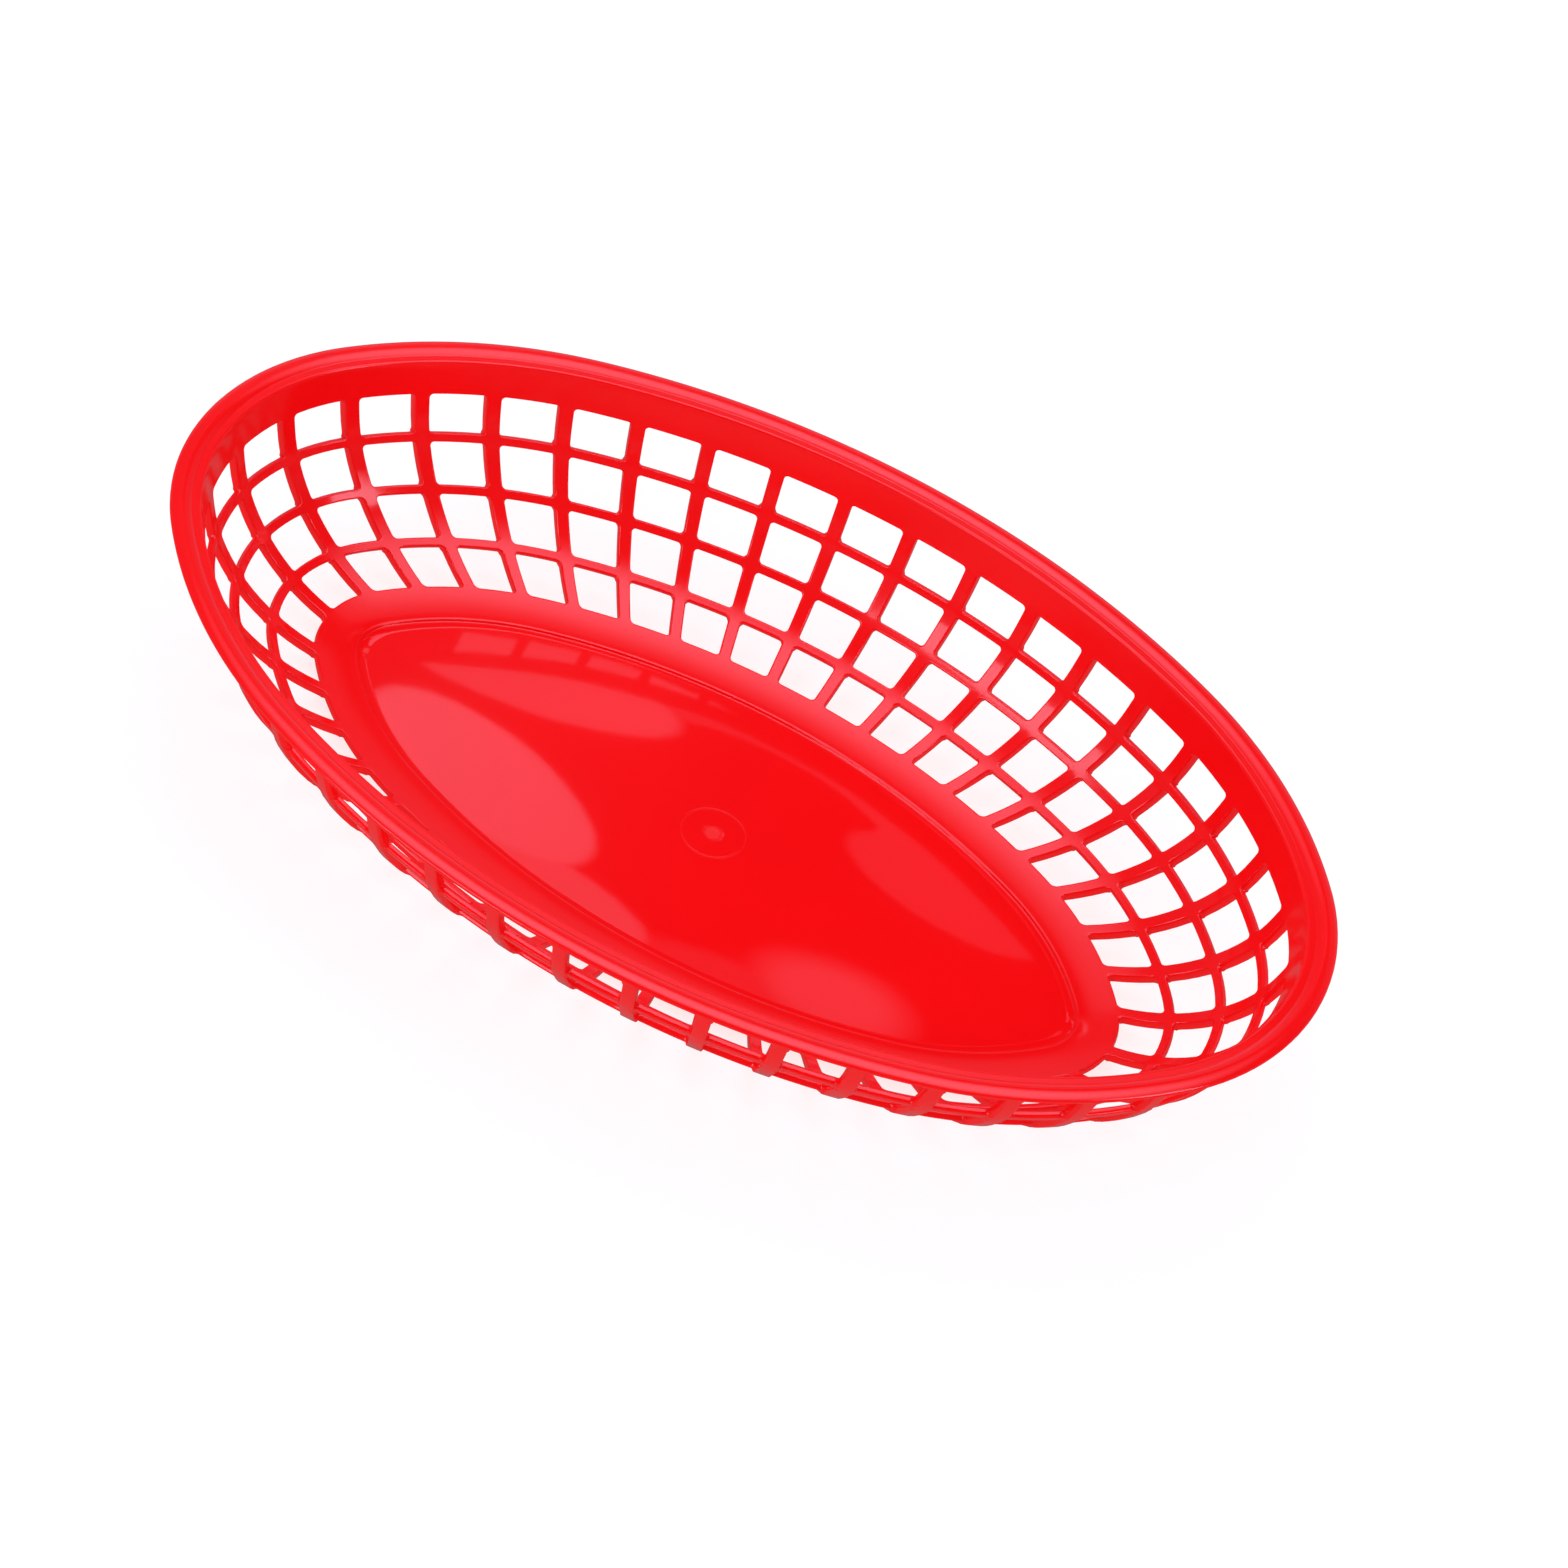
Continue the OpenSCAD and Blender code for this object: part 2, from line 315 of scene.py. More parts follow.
class Bay:
    """One bay of the basket, drawn flat.

    X is the share of a rib's pitch, from one rib's middle to the next, Y the inset and Z the height.
    """

    top_steps = 4
    side_steps = 3
    corner_steps = 4
    sweep_steps = 5
    band_steps = 4
    back_steps = 3
    floor_rings = (1.0, 0.97, 0.8, 0.6, 0.4, 0.2, 0.0)
    # columns on each half of a rib, and how far beside the rib's edge two of them stand, in mm
    rib_columns = 2
    beside_edge = 0.15
    # the flat ring round an opening's rounded edge, and the row beside a hoop's level, in mm
    margin = 0.12
    lead = 0.12
    # a corner's points whose cosine is larger lie at the rib
    rib_cosine = 0.6

    def __init__(self, s):
        self.s = s
        self.section = Section(s)
        self.bm = bmesh.new()
        self.shrink = self.bm.verts.layers.float.new("shrink")

    def vert(self, x, inset, z, shrink=1.0):
        # a shrunk ring is set apart in the flat drawing, so that merging leaves it alone
        v = self.bm.verts.new((x, inset + 1 - shrink, z))
        v[self.shrink] = shrink
        return v

    def edge_share(self, down):
        return self.section.rib_w(down) / 2 / self.section.pitch(down)

    def columns(self, down):
        """Shares of the pitch at which a level's vertices stand, left rib to right rib."""
        pitch = self.section.pitch(down)
        e = self.edge_share(down)
        step = self.beside_edge / pitch
        corner = e + self.s.corner_r / pitch
        mids = [corner + (1 - 2 * corner) * i / self.top_steps for i in range(1, self.top_steps)]
        left = [0.0, e - step, e + step, corner]
        return left + mids + [1 - x for x in reversed(left)]

    def level(self, down, place, shrink=1.0):
        return [self.vert(x, *place, shrink) for x in self.columns(down)]

    def strip(self, lower, upper):
        for i in range(len(lower) - 1):
            self.bm.faces.new((lower[i], lower[i + 1], upper[i + 1], upper[i]))

    def hoop_level(self, down, outside):
        """The line between two rows: full thickness at the ribs, less at the hoop outside."""
        if not outside:
            return self.level(down, self.section.wall_at(down))
        row = []
        shares = self.columns(down)
        for i, x in enumerate(shares):
            at_rib = min(i, len(shares) - 1 - i) < self.rib_columns
            depth = self.s.rib_t if at_rib else self.s.hoop_t
            row.append(self.vert(x, *self.section.wall_at(down, depth)))
        return row

    def outline(self, row, grow):
        """An opening's rounded outline, grown by a width in mm; from the top left, clockwise.

        Returns (share, length down the wall, whether the point lies at a rib)."""
        top = self.s.band_h + row * self.s.row_pitch
        bottom = top + self.s.slot_h
        r = self.s.corner_r
        points = []

        def add(dx_mm, down, at_rib, from_left):
            pitch = self.section.pitch(down)
            e = self.edge_share(down)
            x = e + (dx_mm - grow) / pitch if from_left else 1 - e - (dx_mm - grow) / pitch
            points.append((x, down, at_rib))

        def corner(c_down, start, from_left):
            steps = range(self.corner_steps + 1)
            for i in steps if from_left else reversed(steps):
                a = start + math.pi / 2 * i / self.corner_steps
                # grown radius keeps the offset parallel round the corner
                dx = r - (r + grow) * abs(math.cos(a)) + grow
                down = c_down - (r + grow) * math.sin(a)
                at_rib = abs(math.cos(a)) > self.rib_cosine
                add(dx, down, at_rib, from_left)

        def line(down, rightwards):
            start = self.edge_share(down) + r / self.section.pitch(down)
            for i in range(1, self.top_steps):
                x = start + (1 - 2 * start) * i / self.top_steps
                points.append((x if rightwards else 1 - x, down, False))

        def side(start, end, from_left):
            for i in range(1, self.side_steps):
                add(0.0, start + (end - start) * i / self.side_steps, True, from_left)

        # top rightwards, right side downwards, bottom leftwards, left side upwards
        corner(top + r, 0.0, True)
        line(top - grow, True)
        corner(top + r, 0.0, False)
        side(top + r, bottom - r, False)
        corner(bottom - r, -math.pi / 2, False)
        line(bottom + grow, False)
        corner(bottom - r, -math.pi / 2, True)
        side(bottom - r, top + r, True)
        return points

    def loop(self, row, grow, depth_rib, depth_hoop):
        out = []
        for x, down, at_rib in self.outline(row, grow):
            depth = depth_rib if at_rib else depth_hoop
            out.append(self.vert(x, *self.section.wall_at(down, depth)))
        return out

    def border(self, upper, lower, left, right):
        """The cell's outer boundary in the same order as an opening's outline."""
        # upper and lower are levels, left and right the side vertices, top to bottom
        top = [left[0]] + upper + [right[0]]
        bottom = [right[-1]] + list(reversed(lower)) + [left[-1]]
        return top + right[1:-1] + bottom + list(reversed(left[1:-1]))

    def side_verts(self, row, share, outside):
        top = self.s.band_h + row * self.s.row_pitch + self.s.corner_r
        bottom = self.s.band_h + row * self.s.row_pitch + self.s.slot_h - self.s.corner_r
        depth = self.s.rib_t if outside else 0.0
        out = []
        for i in range(self.side_steps + 1):
            down = top + (bottom - top) * i / self.side_steps
            out.append(self.vert(share, *self.section.wall_at(down, depth)))
        return out

    def ring_faces(self, outer, inner):
        n = len(outer)
        for i in range(n):
            j = (i + 1) % n
            self.bm.faces.new((inner[i], inner[j], outer[j], outer[i]))

    def cell(self, row, in_up, in_low, out_up, out_low):
        """The web round one opening: inner face, rounded edge, side and outer face."""
        f = self.s.edge_r
        bend = f * (1 - math.sqrt(0.5))
        rib_t, hoop_t = self.s.rib_t, self.s.hoop_t
        inside = self.border(in_up, in_low,
                             self.side_verts(row, 0.0, False), self.side_verts(row, 1.0, False))
        outside = self.border(out_up, out_low,
                              self.side_verts(row, 0.0, True), self.side_verts(row, 1.0, True))
        rings = [inside,
                 self.loop(row, f + self.margin, 0.0, 0.0),
                 self.loop(row, f, 0.0, 0.0),
                 self.loop(row, bend, bend, bend),
                 self.loop(row, 0.0, f, f),
                 self.loop(row, 0.0, rib_t - f, hoop_t - f),
                 self.loop(row, bend, rib_t - bend, hoop_t - bend),
                 self.loop(row, f, rib_t, hoop_t),
                 self.loop(row, f + self.margin, rib_t, hoop_t),
                 outside]
        for a, b in zip(rings, rings[1:]):
            self.ring_faces(a, b)

    def build(self):
        sec, s = self.section, self.s
        lap = sec.edge_lap
        top_down, low_down = s.band_h - lap, sec.lattice_end + lap
        panel_z = sec.foot_h + sec.floor_t
        step = [(sec.sweep_in + dx, panel_z + share * sec.floor_step) for dx, share in sec.step_rows]

        # floor panel, its step and the sweep up to the lattice
        inner = [self.level(low_down, step[0], k) for k in reversed(self.floor_rings)]
        inner += [self.level(low_down, place) for place in step[1:]]
        rise = (low_down - sec.wall_len) / self.sweep_steps
        inner += [self.level(low_down, sec.wall_at(sec.wall_len + rise * i))
                  for i in range(1, self.sweep_steps)]
        downs = [top_down] + [s.band_h + r * s.row_pitch - (s.row_pitch - s.slot_h) / 2
                              for r in range(1, s.rows)] + [low_down]
        hoops_in = [self.hoop_level(d, False) for d in downs]
        hoops_out = [self.hoop_level(d, True) for d in downs]
        inner.append(hoops_in[-1])
        for a, b in zip(inner, inner[1:]):
            self.strip(a, b)

        # band, rim and back of the band, up inside and down outside
        over = [hoops_in[0]]
        over += [self.level(top_down, sec.wall_at(top_down * (1 - i / self.band_steps)))
                 for i in range(1, self.band_steps)]
        rim = sec.rim_profile()
        over += [self.level(top_down, place) for place in rim]
        under_rim = rim[-1]
        band_back = sec.wall_at(top_down - self.lead, s.rib_t)
        for i in range(1, self.back_steps + 1):
            place = [a + (b - a) * i / self.back_steps for a, b in zip(under_rim, band_back)]
            over.append(self.level(top_down, place))
        over.append(hoops_out[0])
        for a, b in zip(over, over[1:]):
            self.strip(a, b)

        for row in range(s.rows):
            self.cell(row, hoops_in[row], hoops_in[row + 1], hoops_out[row], hoops_out[row + 1])

        # back of the sweep, the foot ring and the underside
        foot_from = sec.wall_len - sec.foot_w / 2 - sec.foot_draft
        outer = [hoops_out[-1]]
        back_from = low_down + self.lead
        fall = (foot_from - back_from) / (self.sweep_steps - 1)
        outer += [self.level(low_down, sec.wall_at(back_from + fall * i, s.rib_t))
                  for i in range(self.sweep_steps)]
        out_in, in_in = sec.sweep_in - sec.foot_w / 2, sec.sweep_in + sec.foot_w / 2
        bevel, fillet = sec.foot_bevel, sec.foot_fillet
        foot = [(out_in, bevel), (out_in + bevel, 0.0), (in_in - bevel, 0.0), (in_in, bevel),
                (in_in + sec.foot_draft, sec.foot_h - fillet),
                (in_in + sec.foot_draft + fillet, sec.foot_h)]
        outer += [self.level(low_down, place) for place in foot]
        outer += [self.level(low_down, foot[-1], k) for k in self.floor_rings[1:]]
        for a, b in zip(outer, outer[1:]):
            self.strip(a, b)

        mesh = bpy.data.meshes.new("flat_bay")
        self.bm.to_mesh(mesh)
        self.bm.free()
        return mesh


# Node helpers


class Val:
    """A socket's value in a node tree; arithmetic on it adds Math nodes."""

    def __init__(self, net, socket):
        self.net = net
        self.socket = socket

    def _math(self, operation, *others):
        return self.net.math(operation, self, *others)

    def __add__(self, other):
        return self._math("ADD", other)

    def __radd__(self, other):
        return self.net.math("ADD", other, self)

    def __sub__(self, other):
        return self._math("SUBTRACT", other)

    def __rsub__(self, other):
        return self.net.math("SUBTRACT", other, self)

    def __mul__(self, other):
        return self._math("MULTIPLY", other)

    def __rmul__(self, other):
        return self.net.math("MULTIPLY", other, self)

    def __truediv__(self, other):
        return self._math("DIVIDE", other)

    def __rtruediv__(self, other):
        return self.net.math("DIVIDE", other, self)


class Net:
    """Adds nodes to a tree, for geometry or for a material."""

    def __init__(self, tree):
        self.tree = tree

    def add(self, node_type, settings=None, out=0, **inputs):
        node = self.tree.nodes.new(node_type)
        for key, value in (settings or {}).items():
            setattr(node, key, value)
        for name, value in inputs.items():
            # i0, i1 and so on are sockets by number
            numbered = name[0] == "i" and name[1:].isdigit()
            self.feed(node.inputs[int(name[1:]) if numbered else name.replace("_", " ")], value)
        return Val(self, node.outputs[out]) if out is not None else node

    def feed(self, target, value):
        if isinstance(value, Val):
            self.tree.links.new(value.socket, target)
        elif isinstance(value, bpy.types.NodeSocket):
            self.tree.links.new(value, target)
        else:
            target.default_value = value

    def math(self, operation, *values):
        inputs = {f"i{n}": v for n, v in enumerate(values)}
        return self.add("ShaderNodeMath", {"operation": operation}, **inputs)

    def smooth(self, value, start, end):
        """0 below start, 1 above end, with a soft change between."""
        return self.add("ShaderNodeMapRange", {"interpolation_type": "SMOOTHSTEP"},
                        i0=value, i1=start, i2=end)

    def choose(self, condition, when_true, when_false):
        """One of two values by a condition that is 0 or 1."""
        return condition * when_true + (1 - condition) * when_false


# Bending the bays round the oval


def bend_tree(material):
    """Repeats the flat bay along a line and bends the line round an oval of tangent arcs."""
    tree = bpy.data.node_groups.new("basket_bends_round", "GeometryNodeTree")
    face = tree.interface
    face.new_socket("Geometry", in_out="OUTPUT", socket_type="NodeSocketGeometry")
    face.new_socket("Bay", in_out="INPUT", socket_type="NodeSocketGeometry")
    face.new_socket("Ribs", in_out="INPUT", socket_type="NodeSocketInt")
    names = ("Quarter", "End radius", "Shoulder radius", "Side radius", "End turn", "Shoulder turn",
             "End X", "Shoulder X", "Shoulder Y", "Side X", "Side Y")
    for name in names:
        face.new_socket(name, in_out="INPUT", socket_type="NodeSocketFloat")
    net = Net(tree)
    entry = tree.nodes.new("NodeGroupInput")
    leave = tree.nodes.new("NodeGroupOutput")

    def given(name):
        return Val(net, entry.outputs[name])

    ribs = given("Ribs")
    line = net.add("GeometryNodeMeshLine", {"mode": "OFFSET"},
                   Count=entry.outputs["Ribs"], Offset=(1.0, 0.0, 0.0))
    bays = net.add("GeometryNodeInstanceOnPoints", Points=line, Instance=entry.outputs["Bay"])
    joined = net.add("GeometryNodeRealizeInstances", Geometry=bays)
    flat = net.add("GeometryNodeMergeByDistance", Geometry=joined, Distance=FLAT_MERGE)

    split = net.add("ShaderNodeSeparateXYZ", out=None, Vector=net.add("GeometryNodeInputPosition"))
    x, drawn, z = (Val(net, o) for o in split.outputs)
    shrink = net.add("GeometryNodeInputNamedAttribute", {"data_type": "FLOAT"}, Name="shrink")
    inset = drawn - (1 - shrink)

    # length round the ring, folded into the first quarter
    quarter = given("Quarter") - inset * (math.pi / 2)
    quarters = x * 4.0 / ribs
    whole = net.math("FLOOR", quarters)
    part = quarters - whole
    which = net.math("FLOORED_MODULO", whole, 4.0)
    odd = net.math("MODULO", which, 2.0)
    along = net.choose(odd, 1 - part, part) * quarter

    end_turn, shoulder_turn = given("End turn"), given("Shoulder turn")
    end_r, shoulder_r, side_r = given("End radius"), given("Shoulder radius"), given("Side radius")
    to_shoulder = (end_r - inset) * end_turn
    to_side = to_shoulder + (shoulder_r - inset) * (shoulder_turn - end_turn)
    past_end = net.math("GREATER_THAN", along, to_shoulder)
    past_shoulder = net.math("GREATER_THAN", along, to_side)

    def pick(end, shoulder, side):
        return net.choose(past_shoulder, side, net.choose(past_end, shoulder, end))

    radius = pick(end_r, shoulder_r, side_r) - inset
    start = pick(0.0, to_shoulder, to_side)
    turn = pick(0.0, end_turn, shoulder_turn) + (along - start) / radius
    px = pick(given("End X"), given("Shoulder X"), given("Side X")) + radius * net.math("COSINE", turn)
    py = pick(0.0, given("Shoulder Y"), given("Side Y")) + radius * net.math("SINE", turn)
    # quarters 1 and 2 lie on the left, 0 and 1 at the back
    in_left = net.math("COMPARE", which, 1.5, 0.6)
    in_back = net.math("LESS_THAN", which, 1.5)
    sign_x = 1 - 2.0 * in_left
    sign_y = 2.0 * in_back - 1
    place = net.add("ShaderNodeCombineXYZ",
                    X=px * sign_x * shrink * MM, Y=py * sign_y * shrink * MM, Z=z * MM)
    bent = net.add("GeometryNodeSetPosition", Geometry=flat, Position=place)
    closed = net.add("GeometryNodeMergeByDistance", Geometry=bent, Distance=BENT_MERGE)
    smooth = net.add("GeometryNodeSetShadeSmooth", Geometry=closed)
    real = net.add("GeometryNodeRealizeInstances", Geometry=smooth)
    done = net.add("GeometryNodeSetMaterial", Geometry=real, Material=material)
    tree.links.new(done.socket, leave.inputs["Geometry"])
    return tree, names


def plain_mesh(obj, name):
    """The evaluated object as a plain mesh, with its modifiers gone."""
    graph = bpy.context.evaluated_depsgraph_get()
    mesh = bpy.data.meshes.new_from_object(obj.evaluated_get(graph), depsgraph=graph)
    mesh.name = name
    obj.modifiers.clear()
    obj.data = mesh
    return obj


def signed_volume(mesh):
    """The volume, negative if the faces look inward, and the number of faulty edges."""
    bm = bmesh.new()
    bm.from_mesh(mesh)
    volume = bm.calc_volume(signed=True)
    faults = sum(1 for e in bm.edges if not e.is_manifold or not e.is_contiguous)
    bm.free()
    return volume, faults


# Materials


def red_plastic(finish):
    """Glossy moulded polypropylene: thin, slightly translucent, with faint flow and handling marks."""
    mat = bpy.data.materials.new("red_moulded_plastic")
    mat.use_nodes = True
    tree = mat.node_tree
    tree.nodes.clear()
    net = Net(tree)
    shader = tree.nodes.new("ShaderNodeBsdfPrincipled")
    out = tree.nodes.new("ShaderNodeOutputMaterial")
    tree.links.new(shader.outputs[0], out.inputs[0])
    place = net.add("ShaderNodeTexCoord", out=None).outputs["Object"]

    # colour: a slow drift of tone from the melt's flow
    flow = net.add("ShaderNodeTexNoise", Vector=place, Scale=28.0, Detail=2.0, Roughness=0.5)
    pale = tuple(min(1.0, c * 1.06) for c in finish.base) + (1.0,)
    deep = tuple(c * 0.93 for c in finish.base) + (1.0,)
    colour = net.add("ShaderNodeMix", {"data_type": "RGBA"}, out=2, i0=flow, i6=deep, i7=pale)
    net.feed(shader.inputs["Base Color"], colour)

    # roughness: a polished panel and a satin wall, each with faint scuffs and a fine grain
    grain = net.add("ShaderNodeTexNoise", Vector=place, Scale=900.0, Detail=3.0, Roughness=0.6)
    worn = net.add("ShaderNodeTexNoise", Vector=place, Scale=60.0, Detail=4.0, Roughness=0.6)
    split = net.add("ShaderNodeSeparateXYZ", out=None, Vector=place)
    x, y, z = (Val(net, o) for o in split.outputs)
    reach = net.math("SQRT", x * x + y * y)
    level = 1 - net.smooth(z, SATIN_Z[0] * MM, SATIN_Z[1] * MM)
    spot = (1 - net.smooth(reach, SPOT_R[0] * MM, SPOT_R[1] * MM)) * level
    rough = (net.choose(level, finish.panel_roughness, finish.wall_roughness)
             + net.choose(level, PANEL_SHARE, 1.0) * ((grain - 0.5) * GRAIN + (worn - 0.5) * SCUFFS)
             + spot * SPOT_ROUGHNESS)
    net.feed(shader.inputs["Roughness"], rough)

    # relief: a slow unevenness of the moulded skin, faint orange peel, and the gate's ring and spot
    outer = net.smooth(reach, (GATE_R + GATE_LINE) * MM, (GATE_R + GATE_SOFT) * MM)
    ring = (net.smooth(reach, (GATE_R - GATE_SOFT) * MM, (GATE_R - GATE_LINE) * MM) - outer) * level
    wave = net.add("ShaderNodeTexNoise", Vector=place, Scale=34.0, Detail=1.0, Roughness=0.4)
    peel = net.add("ShaderNodeTexNoise", Vector=place, Scale=420.0, Detail=1.0, Roughness=0.5)
    height = (net.choose(level, *WAVE) * wave + net.choose(level, *PEEL) * peel
              - ring * RING_DEPTH - spot * SPOT_DEPTH) * MM
    bump = net.add("ShaderNodeBump", Height=height, Strength=1.0, Distance=1.0)
    net.feed(shader.inputs["Normal"], bump)

    shader.inputs["IOR"].default_value = 1.49
    shader.inputs["Coat Weight"].default_value = 0.12
    shader.inputs["Coat Roughness"].default_value = 0.03
    shader.inputs["Subsurface Weight"].default_value = 0.10
    shader.inputs["Subsurface Radius"].default_value = (1.0, 0.12, 0.10)
    shader.inputs["Subsurface Scale"].default_value = 0.003
    return mat


def floor_paint(finish):
    """White that glows a little; gloss mirrors a grey floor in its place."""
    mat = bpy.data.materials.new("studio_floor")
    mat.use_nodes = True
    net = Net(mat.node_tree)
    shader = mat.node_tree.nodes["Principled BSDF"]
    glossy = net.add("ShaderNodeLightPath", out="Is Glossy Ray")
    for name, colour in (("Emission Color", WHITE), ("Base Color", (*finish.floor, 1.0))):
        mixed = net.add("ShaderNodeMix", {"data_type": "RGBA"}, out=2,
                        i0=glossy, i6=colour, i7=MIRRORED_FLOOR)
        net.feed(shader.inputs[name], mixed)
    shader.inputs["Roughness"].default_value = 0.8
    shader.inputs["Specular IOR Level"].default_value = 0.2
    shader.inputs["Emission Strength"].default_value = FLOOR_GLOW
    return mat


# Operators


class BASKET_OT_make_basket(bpy.types.Operator):
    """Draws one flat bay, repeats it and bends it round the oval"""

    bl_idname = "basket.make_basket"
    bl_label = "Make basket"

    def execute(self, context):
        sizes = context.scene.basket_sizes
        material = red_plastic(context.scene.basket_finish)
        flat = Bay(sizes).build()
        basket = bpy.data.objects.new("basket_body", flat)
        context.scene.collection.objects.link(basket)
        tree, names = bend_tree(material)
        arcs = oval_arcs(sizes)
        values = {"Quarter": arcs["quarter"], "End radius": arcs["end_r"],
                  "Shoulder radius": arcs["shoulder_r"], "Side radius": arcs["side_r"],
                  "End turn": sizes.end_turn, "Shoulder turn": sizes.shoulder_turn,
                  "End X": arcs["end_x"], "Shoulder X": arcs["shoulder_x"],
                  "Shoulder Y": arcs["shoulder_y"], "Side X": arcs["side_x"], "Side Y": arcs["side_y"]}
        bend = basket.modifiers.new("bend", "NODES")
        bend.node_group = tree
        ids = {item.name: item.identifier for item in tree.interface.items_tree if item.in_out == "INPUT"}
        bend[ids["Ribs"]] = sizes.ribs
        for name in names:
            bend[ids[name]] = float(values[name])
        plain_mesh(basket, "basket_body")
        volume, faults = signed_volume(basket.data)
        if volume < 0:
            basket.data.flip_normals()
        print("basket body:", len(basket.data.polygons), "faces, volume", round(abs(volume) * 1e6, 2),
              "cm3, faulty edges", faults)
        if faults:
            raise RuntimeError(f"the basket's skin has {faults} open or wrongly wound edges")
        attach(basket, "root")
        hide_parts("basket")
        return {"FINISHED"}


class BASKET_OT_make_studio(bpy.types.Operator):
    """Adds the pale floor, the soft lights and the camera"""

    bl_idname = "basket.make_studio"
    bl_label = "Make studio"

    def execute(self, context):
        scene = context.scene
        scene.view_settings.view_transform = "Standard"
        finish = scene.basket_finish

        mesh = bpy.data.meshes.new("studio_floor")
        bm = bmesh.new()
        bmesh.ops.create_grid(bm, x_segments=1, y_segments=1, size=4.0)
        bm.to_mesh(mesh)
        bm.free()
        floor = bpy.data.objects.new("studio_floor", mesh)
        floor.data.materials.append(floor_paint(finish))
        scene.collection.objects.link(floor)

        scene.world = self.soft_sky()

        for name, azimuth, elevation, distance, size, radiance, mirrored in LAMPS:
            place = self.bearing(azimuth, elevation, distance)
            self.soft_light(scene, name, place, size, radiance, mirrored)
        overhead = self.soft_light(scene, "overhead", (-0.41, 0.45, 1.2), (0.88, 1.1), 1.45, False)
        # this one looks straight down
        overhead.rotation_euler = (0.0, 0.0, 0.0)
        self.aim_camera(scene)
        return {"FINISHED"}

    def bearing(self, azimuth, elevation, distance):
        """The place at an azimuth and elevation in degrees, and a distance in m."""
        a, e = math.radians(azimuth), math.radians(elevation)
        return Vector((math.cos(e) * math.cos(a), math.cos(e) * math.sin(a), math.sin(e))) * distance

    def soft_sky(self):
        """Even white light all round; gloss mirrors a darker sky that is brightest straight above."""
        world = bpy.data.worlds.new("studio")
        world.use_nodes = True
        tree = world.node_tree
        net = Net(tree)
        even = tree.nodes["Background"]
        even.inputs["Color"].default_value = WHITE
        even.inputs["Strength"].default_value = SKY_LIGHT
        direction = net.add("ShaderNodeTexCoord", out="Generated")
        split = net.add("ShaderNodeSeparateXYZ", out=None, Vector=direction)
        side, away, up = (Val(net, o) for o in split.outputs)
        # each band runs between two values of a direction's height or depth, from -1 to 1
        low = (1 - net.smooth(up, 0.05, 0.42)) * (0.1 + 0.06 * net.smooth(away, -0.2, 0.6))
        behind = (1 - net.smooth(up, 0.6, 0.66)) * net.smooth(away, 0.55, 0.85) * 0.14
        shelf = net.smooth(up, 0.745, 0.79) * 0.3
        top = net.smooth(up, 0.78, 0.99) * 1.8
        above = (shelf + top) * net.smooth(away, -0.45, -0.1)
        mirrored = low + behind + above + self.panel_lights(net, side, away, up)
        seen = net.add("ShaderNodeBackground", Color=MIRRORED_SKY, Strength=mirrored)
        glossy = net.add("ShaderNodeLightPath", out="Is Glossy Ray")
        sky = net.add("ShaderNodeMixShader", i0=glossy, i1=even.outputs[0], i2=seen)
        tree.links.new(sky.socket, tree.nodes["World Output"].inputs["Surface"])
        # gloss finds this sky only by its own mirrored rays
        world.cycles.sampling_method = "NONE"
        return world

    def panel_lights(self, net, side, away, up):
        """The lit shapes that the floor panel mirrors, drawn in mm where the camera sees them in it."""
        rise = (CAMERA.z / MM - PANEL_Z) / net.math("MAXIMUM", up, 0.05)
        u = side * rise + CAMERA.x / MM
        v = away * rise + CAMERA.y / MM

        def lobe(x, y, half_l, half_w, turn, soft, light):
            """An ellipse of light with a soft edge."""
            c, s = math.cos(math.radians(turn)), math.sin(math.radians(turn))
            along = ((u - x) * c + (v - y) * s) / half_l
            across = ((v - y) * c - (u - x) * s) / half_w
            reach = net.math("SQRT", along * along + across * across)
            return (1 - net.smooth(reach, 1 - soft, 1 + soft)) * light

        def brightest(*shapes):
            most = shapes[0]
            for shape in shapes[1:]:
                most = net.math("MAXIMUM", most, shape)
            return most

        # an arched edge closes the far lights, and a thin strip runs along it between them
        past = (u - 3.0) * (u - 3.0)
        arch = 27.5 - past * net.choose(net.math("GREATER_THAN", u, 3.0), 0.0041, 0.0055)
        inside = net.smooth(arch - v, -0.4, 0.4)
        ledge = arch - 1.2 - past * 0.004
        ends = net.smooth(u, -30.0, -20.0) * (1 - net.smooth(u, 30.0, 44.0))
        strip = net.smooth(v - ledge, -0.5, 0.5) * ends * 0.32
        far = inside * brightest(lobe(*FAR_LEFT_LOBE), strip, *(lobe(*given) for given in FAR_RIGHT_LOBES))
        # a row of panes past the arch, lower toward the middle
        sill = 30.3 - (u + 5.0) * (u + 5.0) * 0.0066
        tall = (-12.0 - u) * 0.13
        between = net.smooth(v - sill, -0.4, 0.4) * net.smooth(sill + tall - v, -0.4, 0.4)
        pane = net.math("PINGPONG", u + v * 0.2 + 12.6, PANE_PITCH / 2)
        panes = between * net.smooth(pane, 0.8, 1.4) * net.smooth(u, -65.5, -64.5) * 0.7
        # the near lights, the left one fading toward the middle
        fade = 1.3 - net.smooth(u, -66.0, -8.0) * 0.3
        near = brightest(lobe(*NEAR_LEFT_LOBE, fade), *(lobe(*given) for given in NEAR_LOBES))
        drift = 0.02 + 0.09 * (1 - net.smooth(u, -60.0, 20.0))
        return brightest(far, panes, near, drift)

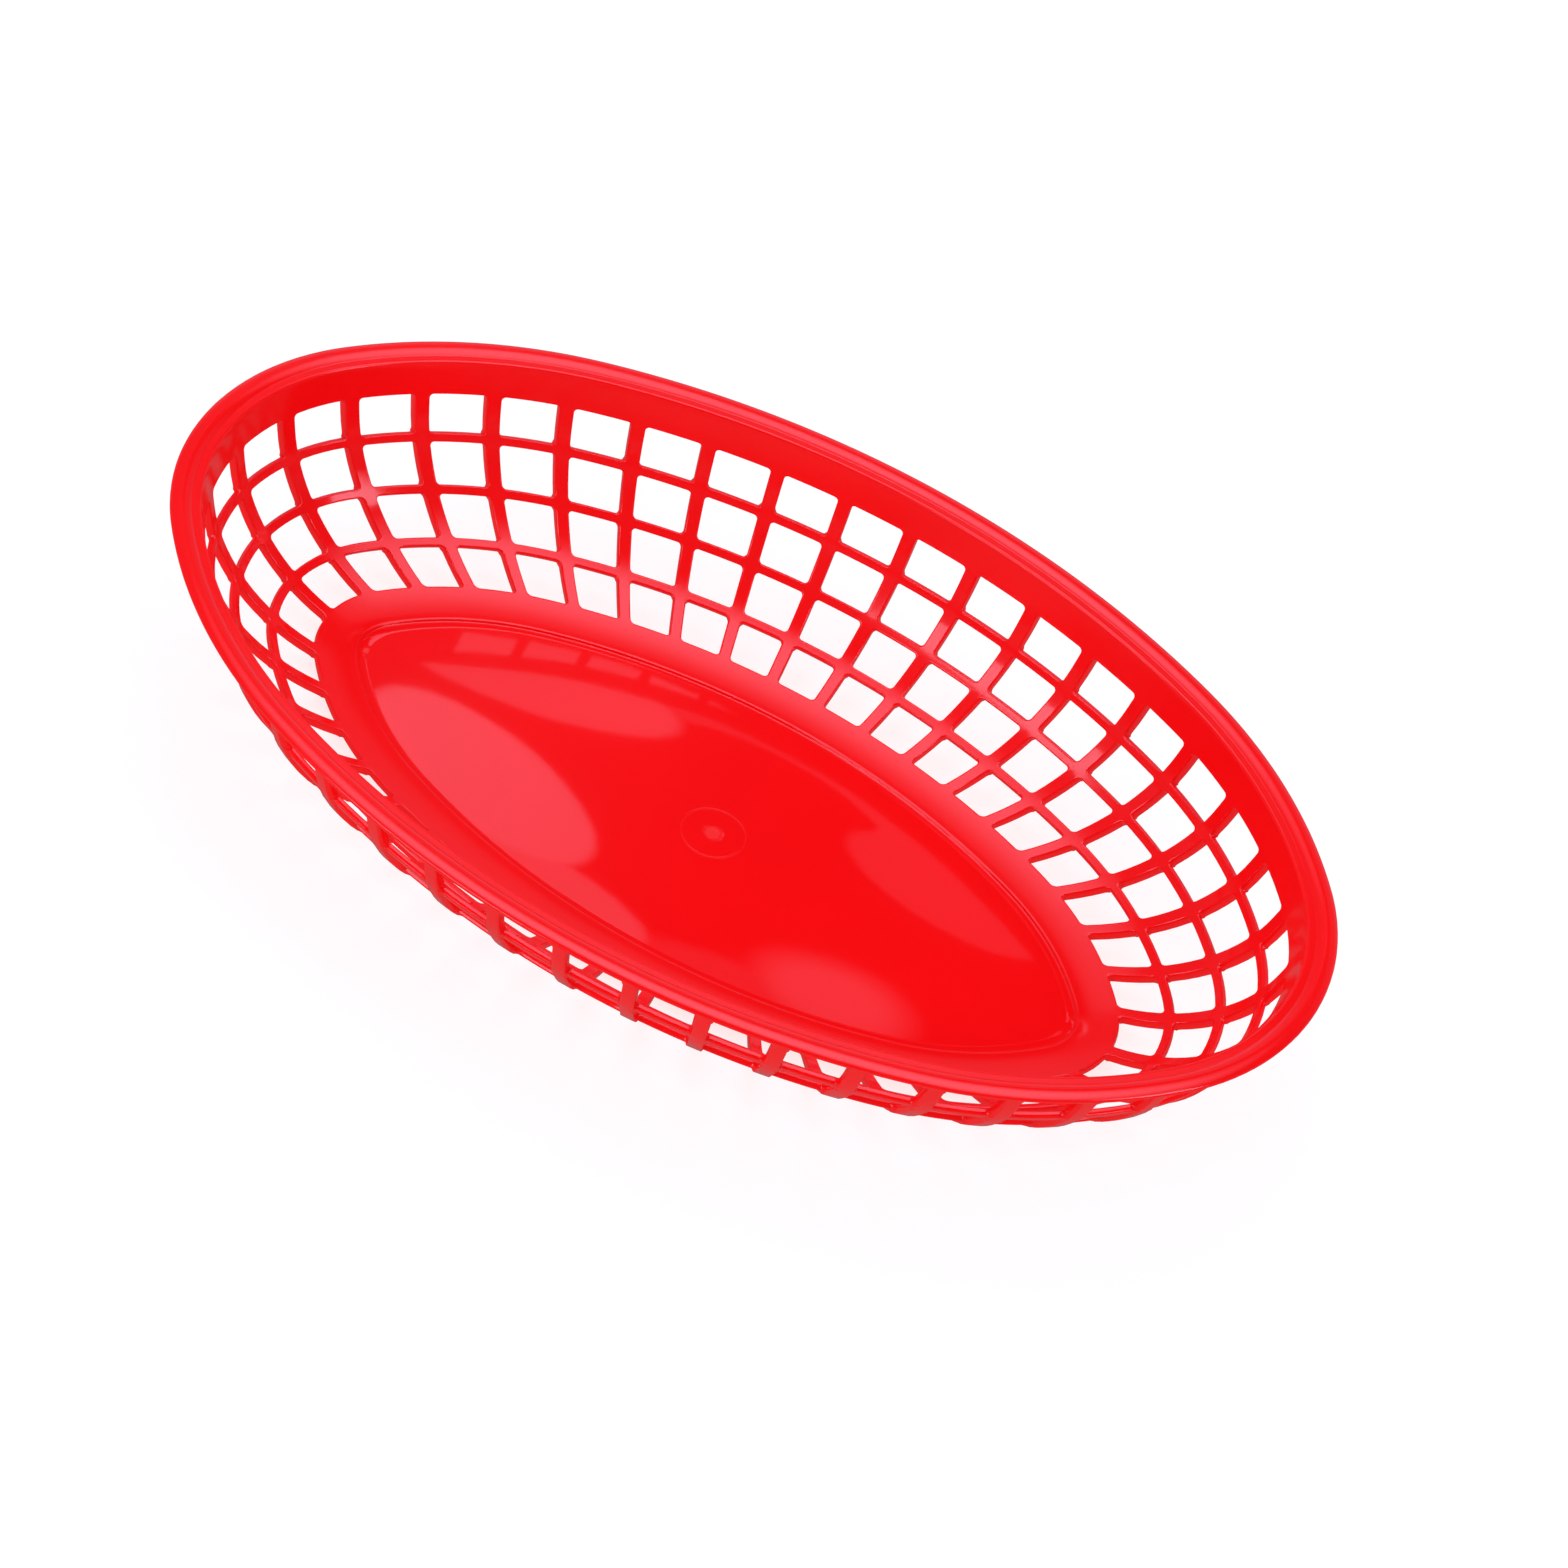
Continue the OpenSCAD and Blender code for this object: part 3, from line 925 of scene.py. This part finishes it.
    def soft_light(self, scene, name, place, size, radiance, mirrored):
        """A rectangular lamp of a given radiance, aimed at the basket."""
        lamp = bpy.data.lights.new(name, "AREA")
        lamp.shape = "RECTANGLE"
        lamp.size, lamp.size_y = size
        lamp.energy = radiance * math.pi * size[0] * size[1]
        lamp.color = LAMP_COLOUR
        obj = bpy.data.objects.new(name, lamp)
        obj.location = place
        basket_middle = Vector((0.0, 0.0, 0.02))
        obj.rotation_euler = (basket_middle - Vector(place)).to_track_quat("-Z", "Y").to_euler()
        obj.visible_glossy = mirrored
        scene.collection.objects.link(obj)
        return obj

    def aim_camera(self, scene):
        """The photograph's camera, as it was fitted."""
        camera = bpy.data.cameras.new("camera")
        camera.sensor_width = SENSOR_MM
        camera.lens = FOCAL_PX / FRAME_PX * SENSOR_MM
        camera.clip_start, camera.clip_end = 0.05, 20.0
        obj = bpy.data.objects.new("camera", camera)
        turn = Matrix((CAMERA_RIGHT, CAMERA_UP, CAMERA_BACK)).transposed()
        obj.matrix_world = Matrix.Translation(CAMERA) @ turn.to_4x4()
        scene.collection.objects.link(obj)
        scene.camera = obj


class BASKET_PT_panel(bpy.types.Panel):
    """Lists what the add-on makes"""

    bl_idname = "BASKET_PT_panel"
    bl_label = "Basket"
    bl_space_type = "VIEW_3D"
    bl_region_type = "UI"
    bl_category = "Basket"

    def draw(self, context):
        layout = self.layout
        for group in (context.scene.basket_sizes, context.scene.basket_finish):
            for name in group.__annotations__:
                layout.prop(group, name)
        layout.operator(BASKET_OT_make_basket.bl_idname)
        layout.operator(BASKET_OT_make_studio.bl_idname)


CLASSES = (BasketSettings, FinishSettings, BASKET_OT_make_basket, BASKET_OT_make_studio, BASKET_PT_panel)


def register():
    for cls in CLASSES:
        bpy.utils.register_class(cls)
    bpy.types.Scene.basket_sizes = bpy.props.PointerProperty(type=BasketSettings)
    bpy.types.Scene.basket_finish = bpy.props.PointerProperty(type=FinishSettings)


def unregister():
    del bpy.types.Scene.basket_finish
    del bpy.types.Scene.basket_sizes
    for cls in reversed(CLASSES):
        bpy.utils.unregister_class(cls)


def main():
    register()
    bpy.ops.basket.make_basket()
    bpy.ops.basket.make_studio()


if __name__ == "__main__":
    main()
